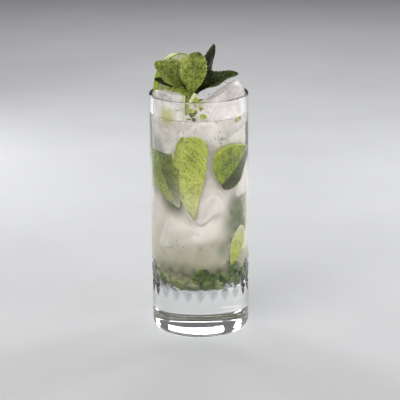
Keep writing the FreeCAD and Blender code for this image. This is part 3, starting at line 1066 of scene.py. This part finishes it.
def wall_leaf(name, heading, heights, width, depth, seed, veil=(0.0, 0.0), quilt=0.45, teeth=0.045,
              fullness=1.0, uneven=0.0, bow=0.0, underside=False, shade=None):
    """A sunk leaf that lies along the inner wall.

    heading: the midrib's two ends, in degrees from the front, + to the right. heights: of those ends,
    in mm. depth: how far inside the wall it lies, in mm. veil: how much of the cloudy drink lies before
    its two ends, 0 to 1. bow: how far the midrib bends sideways, in mm. underside: its pale side
    faces out.
    """
    bm = bmesh.new()
    radius = INNER_RADIUS - depth * MM
    rise = (heights[1] - heights[0]) * MM
    run = math.radians(heading[1] - heading[0]) * radius
    length = math.hypot(rise, run)
    lean = math.atan2(run, rise)
    placed = flat_leaf(bm, length, width * MM, quilt * MM, seed, teeth, fullness, uneven, WALL_GRID)
    if shade:
        shade_leaf(bm, placed, shade)
    bend_leaf(placed, length, 0, WALL_LEAF_FOLD, WALL_LEAF_RUFFLE, 0, seed)
    fog = bm.verts.layers.float.get("fog")
    for vert, _, along in placed:
        x, y, z = vert.co
        x += bow * MM * 4 * along * (1 - along)
        sideways = x * math.cos(lean) + y * math.sin(lean)
        up = y * math.cos(lean) - x * math.sin(lean)
        out = z if not underside else -z
        reach = min(radius + out, INNER_RADIUS - WALL_LEAF_GAP)
        angle = math.radians(heading[0] - 90) + sideways / radius
        vert.co = Vector((reach * math.cos(angle), reach * math.sin(angle), heights[0] * MM + up))
        veiled = veil[0] * (1 - along) ** 2 + veil[1] * along**2.6
        veiled += 0.2 * veiled * wobble(vert.co, 6 * MM, seed)
        vert[fog] = 0.04 + 0.92 * smooth_step(0.0, 1.0, veiled)
    order = [LEAF_SUNK_UNDER, LEAF_SUNK_TOP] if underside else [LEAF_SUNK_TOP, LEAF_SUNK_UNDER]
    leaf_piece(name, bm, order, WET_LEAF_THICKNESS)


def make_wall_leaves():
    """The leaves that lie against the glass: four at the front, three behind."""
    wall_leaf(
        "sunk_leaf_front", (-17.5, -7.4), (131.8, 79.5), 22, 1.2, 21.0, veil=(0.0, 0.45), quilt=0.4,
        teeth=0.07, fullness=0.62, uneven=-0.48, bow=5.0, underside=True,
        shade=lambda across, along: 0.4 * smooth_step(0.2, 0.9, across) * (1 - along),
    )
    wall_leaf(
        "sunk_leaf_left", (-72, -26), (128, 87), 23, 1.45, 22.0, veil=(0.0, 0.55), uneven=-0.1, bow=2.5,
        shade=lambda across, along: 0.45 * smooth_step(-0.05, 0.15, -across),
    )
    wall_leaf(
        "sunk_leaf_right", (28, 84), (100.5, 119), 28, 1.2, 23.0, quilt=0.65, teeth=0.06, fullness=0.85,
        uneven=-0.36, bow=-1.5, shade=lambda across, along: 0.85 * smooth_step(-0.03, 0.1, across),
    )
    wall_leaf("sunk_leaf_low_right", (64, 42), (71, 47), 12.5, 1.3, 24.0, veil=(0.75, 0.1))
    wall_leaf("sunk_leaf_back", (158, 176), (122, 78), 23, 1.3, 25.0, veil=(0.1, 0.6), underside=True)
    wall_leaf("sunk_leaf_back_right", (118, 140), (92, 58), 18, 1.4, 26.0, veil=(0.7, 0.2))
    wall_leaf("sunk_leaf_back_left", (-126, -148), (112, 70), 20, 1.4, 27.0, veil=(0.1, 0.7))


make_wall_leaves()

# ---------------------------------------------------------------- the lime wheel

LIME_RADIUS = 20 * MM
LIME_THICKNESS = 4.2 * MM
LIME_STEPS = 120
PEEL_THICKNESS = 0.85 * MM
PEEL_ROUNDING = 0.55 * MM
PITH_WIDTH = 2.1 * MM
PITH_DEPTH = 0.65 * MM
LIME_SEGMENTS = 10
SEGMENT_GRID = (12, 14)
SEGMENT_INSIDE = 2.2 * MM
SEGMENT_GAP = 0.45 * MM
LIME_TURN = math.radians(50)
LIME_FACING = Vector((math.sin(LIME_TURN), -math.cos(LIME_TURN), 0))


def lime_matrix():
    """From the wheel's own frame, lying flat about the origin, to its place in the glass."""
    low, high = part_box("lime_wheel")
    centre = (low + high) / 2
    side = UP.cross(LIME_FACING)
    turn = Matrix((side, UP, side.cross(UP))).transposed()
    return Matrix.Translation(centre) @ turn.to_4x4()


def lime_section_map(bm):
    """Gives each face corner its place: share of a turn across, share of the radius along."""
    uv = bm.loops.layers.uv.verify()
    for face in bm.faces:
        middle = face.calc_center_median()
        middle_angle = math.atan2(middle.y, middle.x)
        for loop in face.loops:
            place = loop.vert.co
            angle = math.atan2(place.y, place.x)
            if angle - middle_angle > math.pi:
                angle -= 2 * math.pi
            if middle_angle - angle > math.pi:
                angle += 2 * math.pi
            loop[uv].uv = (angle / (2 * math.pi), place.xy.length / LIME_RADIUS)


def place_lime(name, bm, finish):
    """Puts a part of the wheel, made flat about the origin, in its place and finishes it."""
    bmesh.ops.transform(bm, matrix=lime_matrix(), verts=bm.verts)
    finish_piece(name, bm, [finish], "lime_wheel")


def make_lime_wheel():
    """The wheel in peel, pith and segments of flesh."""
    half = LIME_THICKNESS / 2
    inner = LIME_RADIUS - PEEL_THICKNESS
    bend = (LIME_RADIUS - PEEL_ROUNDING, half - PEEL_ROUNDING)
    peel = [
        (inner, -half + 0.1 * MM),
        *arc_points((bend[0], -bend[1]), PEEL_ROUNDING, -90, 0, 4),
        *arc_points(bend, PEEL_ROUNDING, 0, 90, 4),
        (inner, half - 0.1 * MM), (inner, -half + 0.1 * MM),
    ]
    place_lime("lime_peel", spun(LIME_STEPS, peel), PEEL)

    flesh_out = inner - PITH_WIDTH
    low = half - PITH_DEPTH
    upper = [
        (inner + 0.2 * MM, half - 0.2 * MM), (inner - 0.6 * MM, half - 0.15 * MM),
        (flesh_out, low), (flesh_out * 0.5, low), (0, low),
    ]
    lower = [(radius, -height) for radius, height in reversed(upper)]
    place_lime("lime_pith", spun(LIME_STEPS, lower + upper), PITH)

    source = rng("lime")
    bm = bmesh.new()
    step = 2 * math.pi / LIME_SEGMENTS
    for index in range(LIME_SEGMENTS):
        start = step * index + source.uniform(-0.03, 0.03)
        lime_segment(bm, start, step * source.uniform(0.86, 0.93), flesh_out, half)
    lime_section_map(bm)
    place_lime("lime_flesh", bm, FLESH)


def lime_segment(bm, start, width, reach, half):
    """Adds one juicy wedge to bm, its corners rounded and its two faces swollen.

    start: the angle of its middle. width: its angle. reach: its outer radius. half: the wheel's
    half thickness.
    """
    made = bmesh.ops.create_grid(bm, x_segments=SEGMENT_GRID[0], y_segments=SEGMENT_GRID[1], size=0.5)
    sheet = made["verts"]
    for vert in sheet:
        across, along = vert.co.x * 2, vert.co.y + 0.5
        radius = SEGMENT_INSIDE + (reach - SEGMENT_INSIDE) * along
        gap = SEGMENT_GAP / radius
        pinch = (1 - abs(2 * along - 1) ** 6) ** 0.35
        angle = start + across * max(0.0, width / 2 - gap) * (0.35 + 0.65 * pinch)
        swell = (1 - abs(across) ** 4) * (1 - abs(2 * along - 1) ** 6)
        lumps = 0.12 * MM * wobble(Vector((angle * 9 * MM, radius * 0.5, 0)), 1.2 * MM, 3.0)
        height = half - 0.9 * MM + 0.75 * MM * swell**0.5 + lumps * swell
        vert.co = Vector((radius * math.cos(angle), radius * math.sin(angle), height))
    faces = list({f for v in sheet for f in v.link_faces})
    copy = bmesh.ops.duplicate(bm, geom=sheet + faces)
    other = [item for item in copy["geom"] if isinstance(item, bmesh.types.BMVert)]
    for vert in other:
        vert.co.z = -vert.co.z
    rims = [e for v in sheet + other for e in v.link_edges if e.is_boundary]
    bmesh.ops.bridge_loops(bm, edges=list(set(rims)))


make_lime_wheel()

# ---------------------------------------------------------------- muddled lime and mint


def crumpled_leaf(name, heading, height, width, length, depth, seed, materials):
    """A torn, folded leaf at the bottom of the glass; sizes and places are in mm."""
    bm = bmesh.new()
    source = rng(name)
    length *= MM
    placed = flat_leaf(bm, length, width * MM, MUDDLED_QUILT, seed, grid=MUDDLED_GRID)
    curl, fold = source.uniform(40, 100), source.uniform(10, 34)
    bend_leaf(placed, length, curl, fold, MUDDLED_RUFFLE, source.uniform(-60, 60), seed)
    angle = math.radians(heading - 90)
    out = Vector((math.cos(angle), math.sin(angle), 0))
    turn = Matrix.Rotation(source.uniform(0, 2 * math.pi), 3, out) @ out.to_track_quat("Z", "Y").to_matrix()
    centre = wall_place(heading, height, depth)
    middle = sum((v.co for v, _, _ in placed), Vector()) / len(placed)
    for vert, _, _ in placed:
        vert.co = turn @ (vert.co - middle) + centre
        keep_inside(vert, MUDDLED_GAP)
    leaf_piece(name, bm, materials, WET_LEAF_THICKNESS)


def keep_inside(vert, gap):
    """Moves a vertex back into the glass's cavity where it would reach into its wall or floor."""
    flat = LOW_INNER_RADIUS - FLOOR_ROUNDING
    corner_height = FLOOR + FLOOR_ROUNDING
    radius = vert.co.xy.length
    if vert.co.z >= corner_height:
        share = smooth_step(LOW_WALL_TOP, WALL_TAPER_TOP, vert.co.z)
        limit = LOW_INNER_RADIUS + (INNER_RADIUS - LOW_INNER_RADIUS) * share - gap
        if radius > limit:
            vert.co.xy *= limit / radius
        return
    away = Vector((max(0.0, radius - flat), vert.co.z - corner_height))
    limit = FLOOR_ROUNDING - gap
    if radius <= flat:
        vert.co.z = max(vert.co.z, FLOOR + gap)
    elif away.length > limit:
        away *= limit / away.length
        vert.co.xy *= (flat + away.x) / radius
        vert.co.z = corner_height + away.y


# Muddled leaves: heading and height of their middles, width, length and depth in mm.
MUDDLED_LEAVES = (
    (0, 39.5, 12, 19, 2.6), (19, 37, 13, 18, 2.3), (34, 38, 12, 16, 2.2), (11, 34, 12, 16, 4.6),
    (50, 42, 10, 14, 2.2), (28, 31, 12, 15, 6.0), (-6, 33, 9, 12, 6.0), (64, 36, 10, 13, 4.0),
    (150, 37, 12, 16, 2.6), (185, 34, 12, 16, 3.4), (-140, 38, 12, 15, 2.8), (-95, 36, 11, 14, 3.4),
    (100, 36, 11, 15, 3.0), (-30, 32.5, 8, 14, 3.4), (-56, 35, 8, 13, 3.2),
)
MUDDLED_QUILT = 0.6 * MM
MUDDLED_RUFFLE = 1.6 * MM
MUDDLED_GAP = 1.0 * MM
# Pressed lime: heading, height and size in mm.
LIME_WEDGES = ((-42, 37, 15), (-14, 34, 12), (-75, 38, 13), (130, 36, 15), (-160, 37, 14), (75, 35, 12))
WEDGE_SHAPE = (1.2, 0.6, 0.7)
WEDGE_DEPTH = 8.5
WEDGE_MELT = 1.6 * MM
WEDGE_ROUNDNESS = 0.7
WEDGE_GAP = 1.2 * MM


def make_muddled_mint():
    """The leaves that lie crushed at the bottom of the glass."""
    for index, place in enumerate(MUDDLED_LEAVES):
        order = [LEAF_MUDDLED, LEAF_TOP if index % 2 else LEAF_MUDDLED]
        crumpled_leaf(f"muddled_leaf_{index + 1}", *place, seed=41.0 + index, materials=order)


make_muddled_mint()


def make_lime_wedges():
    """Pressed lime pieces that lie on the bottom of the glass."""
    source = rng("wedges")
    bm = new_block_mesh()
    for heading, height, size in LIME_WEDGES:
        sides = [size * share * MM for share in WEDGE_SHAPE]
        tilt, turn = source.uniform(-30, 30), heading + source.uniform(-20, 20)
        pose = ice_turn(tilt, turn, source.uniform(-40, 40))
        centre = wall_place(heading, height, WEDGE_DEPTH)
        ice_cube(bm, centre, sides, pose, 61.0 + heading, WEDGE_ROUNDNESS, INNER_RADIUS, WEDGE_MELT)
    for vert in bm.verts:
        keep_inside(vert, WEDGE_GAP)
    finish_piece("muddled_lime", bm, [PRESSED_LIME])


make_lime_wedges()


# ---------------------------------------------------------------- bits, flecks and bubbles


# Scraps of mint: heading, height and gap from the wall in mm.
MINT_BITS = (
    (-11, 144.5, 5.0), (-5, 142.8, 4.0), (-14, 147, 7.0), (-2, 147.5, 7.0), (2, 145.0, 5.0),
    (-17, 143.2, 4.0), (-7, 150, 10.0), (-10, 153, 12.0), (-1, 151, 10.0), (7, 152.5, 9.0),
    (4, 149, 7.0), (-6, 146, 3.0), (140, 142.8, 3.0), (170, 142.6, 6.0), (-160, 142.7, 4.0),
)
# Clusters of flecks: heading, height, spread in degrees, rise in mm and how many.
FLECK_CLUSTERS = (
    (9, 150.5, 7, 3.0, 12), (3, 144, 8, 2.0, 10), (55, 149, 4, 4.0, 6), (-30, 148, 16, 4.0, 10),
    (48, 140, 9, 2.0, 8), (-12, 136, 12, 4.0, 10), (25, 130, 14, 6.0, 8), (180, 146, 60, 6.0, 26),
    (30, 112, 16, 6.0, 8), (-20, 60, 30, 10.0, 14), (160, 90, 60, 30.0, 24),
)
SCRAP_QUILT = 0.25 * MM
SCRAP_TEETH = 0.12
SCRAP_RUFFLE = 0.3 * MM
SCRAP_GAP = 0.6 * MM
# How many bubbles, and how far from the wall bubbles and flecks are, in mm.
SURFACE_BUBBLES = 170
WALL_BUBBLES = 90
SURFACE_BUBBLE_GAP = 1.1
WALL_BUBBLE_GAP = 0.9
FLECK_GAP = 0.75
LIME_BIT_SIZE = (7.4 * MM, 2.2 * MM, 4.0 * MM)
LIME_BIT_ROOM = INNER_RADIUS - 0.15 * MM
LIME_BIT_MELT = 1.3 * MM


def make_mint_bits():
    """Torn scraps of mint that float round the stem and stick to the wall above the drink."""
    source = rng("bits")
    bm = bmesh.new()
    for index, (heading, height, gap) in enumerate(MINT_BITS):
        length = source.uniform(2.4, 4.4) * MM
        width = length * 0.8
        placed = flat_leaf(bm, length, width, SCRAP_QUILT, 70.0 + index, SCRAP_TEETH, grid=SCRAP_GRID)
        curl, fold = source.uniform(20, 80), source.uniform(5, 30)
        bend_leaf(placed, length, curl, fold, SCRAP_RUFFLE, source.uniform(-40, 40), index)
        axis = Vector([source.uniform(-1, 1) for _ in range(3)]).normalized()
        turn = Matrix.Rotation(source.uniform(0, 2 * math.pi), 3, axis)
        middle = wall_place(heading, height, gap)
        for vert, _, _ in placed:
            vert.co = turn @ vert.co + middle
            keep_inside(vert, SCRAP_GAP)
    leaf_piece("mint_bits", bm, [LEAF_SUNK_UNDER, LEAF_UNDER], SCRAP_THICKNESS)


def make_mint_flecks():
    """Dark flecks of muddled mint on the wet wall and in the drink close behind it."""
    source = rng("flecks")
    bm = bmesh.new()
    for heading, height, spread, rise, count in FLECK_CLUSTERS:
        for _ in range(count):
            size = source.uniform(0.18, 0.5) * MM
            made = bmesh.ops.create_icosphere(bm, subdivisions=1, radius=size)
            turn = Matrix.Rotation(source.uniform(0, 3), 3, "Z")
            turn = turn @ Matrix.Rotation(source.uniform(0, 3), 3, "X")
            flat = Matrix.Diagonal((source.uniform(0.8, 2.0), 1.0, 0.35))
            turned = heading + source.gauss(0, spread * 0.5)
            middle = wall_place(turned, height + source.gauss(0, rise * 0.5), FLECK_GAP)
            for vert in made["verts"]:
                vert.co = turn @ (flat @ vert.co) + middle
    bm.verts.layers.float.new("fog")
    finish_piece("mint_flecks", bm, [LEAF_PAINTED_SHADE])


def make_bubbles():
    """Small bubbles: a loose ring of them at the surface and single ones on the wall below."""
    source = rng("bubbles")
    bm = bmesh.new()
    for index in range(SURFACE_BUBBLES + WALL_BUBBLES):
        heading = source.uniform(0, 360)
        if index < SURFACE_BUBBLES:
            height = LEVEL / MM + source.uniform(-1.4, 0.3)
            size = source.uniform(0.25, 0.75)
            gap = SURFACE_BUBBLE_GAP + abs(source.gauss(0, 1.2))
        else:
            height = source.uniform(62, LEVEL / MM - 3)
            size = source.uniform(0.15, 0.4)
            gap = WALL_BUBBLE_GAP
        made = bmesh.ops.create_uvsphere(bm, u_segments=8, v_segments=6, radius=size * MM)
        bmesh.ops.translate(bm, vec=wall_place(heading, height, gap), verts=made["verts"])
    finish_piece("drink_bubbles", bm, [BUBBLE])


def make_lime_bit():
    """A scrap of lime that floats at the right under the rim."""
    bm = new_block_mesh()
    place, pose = wall_place(55, 141.0, 1.1), ice_turn(14, 55, 10)
    ice_cube(bm, place, LIME_BIT_SIZE, pose, 81.0, 0.9, LIME_BIT_ROOM, LIME_BIT_MELT)
    finish_piece("lime_bit", bm, [LIME_SCRAP])


make_mint_bits()
make_mint_flecks()
make_bubbles()
make_lime_bit()

# ---------------------------------------------------------------- studio


STUDIO_FLOOR_SIZE = 4.0
LIGHT_AIM = Vector((0, 0, 0.09))
# Lamps: name, place, width and height, power and colour.
LAMPS = (
    ("key", (-0.5, -0.75, 0.9), (0.8, 0.8), 7.6, (1.0, 0.98, 0.965)),
    ("fill", (0.8, -0.5, 0.5), (0.6, 0.8), 3.8, (1.0, 0.985, 0.985)),
    ("back", (0.1, 0.9, 0.75), (1.0, 0.6), 5.2, (1.0, 0.99, 0.985)),
    ("left_strip", (-0.34, 0.42, 0.34), (0.12, 0.6), 1.5, (1, 1, 1)),
    ("right_strip", (0.46, 0.34, 0.34), (0.10, 0.6), 1.5, (1, 1, 1)),
)
WORLD_COLOUR = (0.86, 0.88, 0.9, 1)
WORLD_STRENGTH = 0.17


def make_floor():
    """The studio's floor, which isn't part of the drink."""
    bm = bmesh.new()
    bmesh.ops.create_grid(bm, x_segments=1, y_segments=1, size=STUDIO_FLOOR_SIZE)
    mesh = bpy.data.meshes.new("studio_floor")
    bm.to_mesh(mesh)
    bm.free()
    floor = bpy.data.objects.new("studio_floor", mesh)
    bpy.context.scene.collection.objects.link(floor)
    mesh.materials.append(floor_finish())


def area_light(name, place, size, power, colour):
    """A soft rectangular lamp that shines on the drink."""
    lamp = bpy.data.lights.new(name, "AREA")
    lamp.shape = "RECTANGLE"
    lamp.size, lamp.size_y = size
    lamp.energy = power
    lamp.color = colour
    holder = bpy.data.objects.new(name, lamp)
    holder.location = place
    holder.rotation_euler = (LIGHT_AIM - Vector(place)).to_track_quat("-Z", "Y").to_euler()
    bpy.context.scene.collection.objects.link(holder)


def make_studio():
    """Soft lamps round the drink and an even, dim surrounding."""
    make_floor()
    for lamp in LAMPS:
        area_light(*lamp)
    world = bpy.data.worlds.new("studio")
    world.use_nodes = True
    background = world.node_tree.nodes["Background"]
    background.inputs["Color"].default_value = WORLD_COLOUR
    background.inputs["Strength"].default_value = WORLD_STRENGTH
    bpy.context.scene.world = world
    bpy.context.scene.view_settings.view_transform = "Standard"


CAMERA_DISTANCE = 1.0
CAMERA_PITCH = math.radians(17.26)
CAMERA_AIM = Vector((0.00017, 0, 0.0838))
CAMERA_ROLL = math.radians(-0.56)
CAMERA_LENS = 140.4


def make_camera():
    """A long lens in front of the drink, looking a little down on it."""
    camera = bpy.data.cameras.new("camera")
    camera.lens = CAMERA_LENS
    camera.sensor_width = 36
    camera.clip_end = 20
    holder = bpy.data.objects.new("camera", camera)
    back = Vector((0, -math.cos(CAMERA_PITCH), math.sin(CAMERA_PITCH)))
    turn = Matrix.Rotation(math.pi / 2 - CAMERA_PITCH, 4, "X") @ Matrix.Rotation(CAMERA_ROLL, 4, "Z")
    holder.matrix_world = Matrix.Translation(CAMERA_AIM + back * CAMERA_DISTANCE) @ turn
    bpy.context.scene.collection.objects.link(holder)
    bpy.context.scene.camera = holder


make_studio()
make_camera()
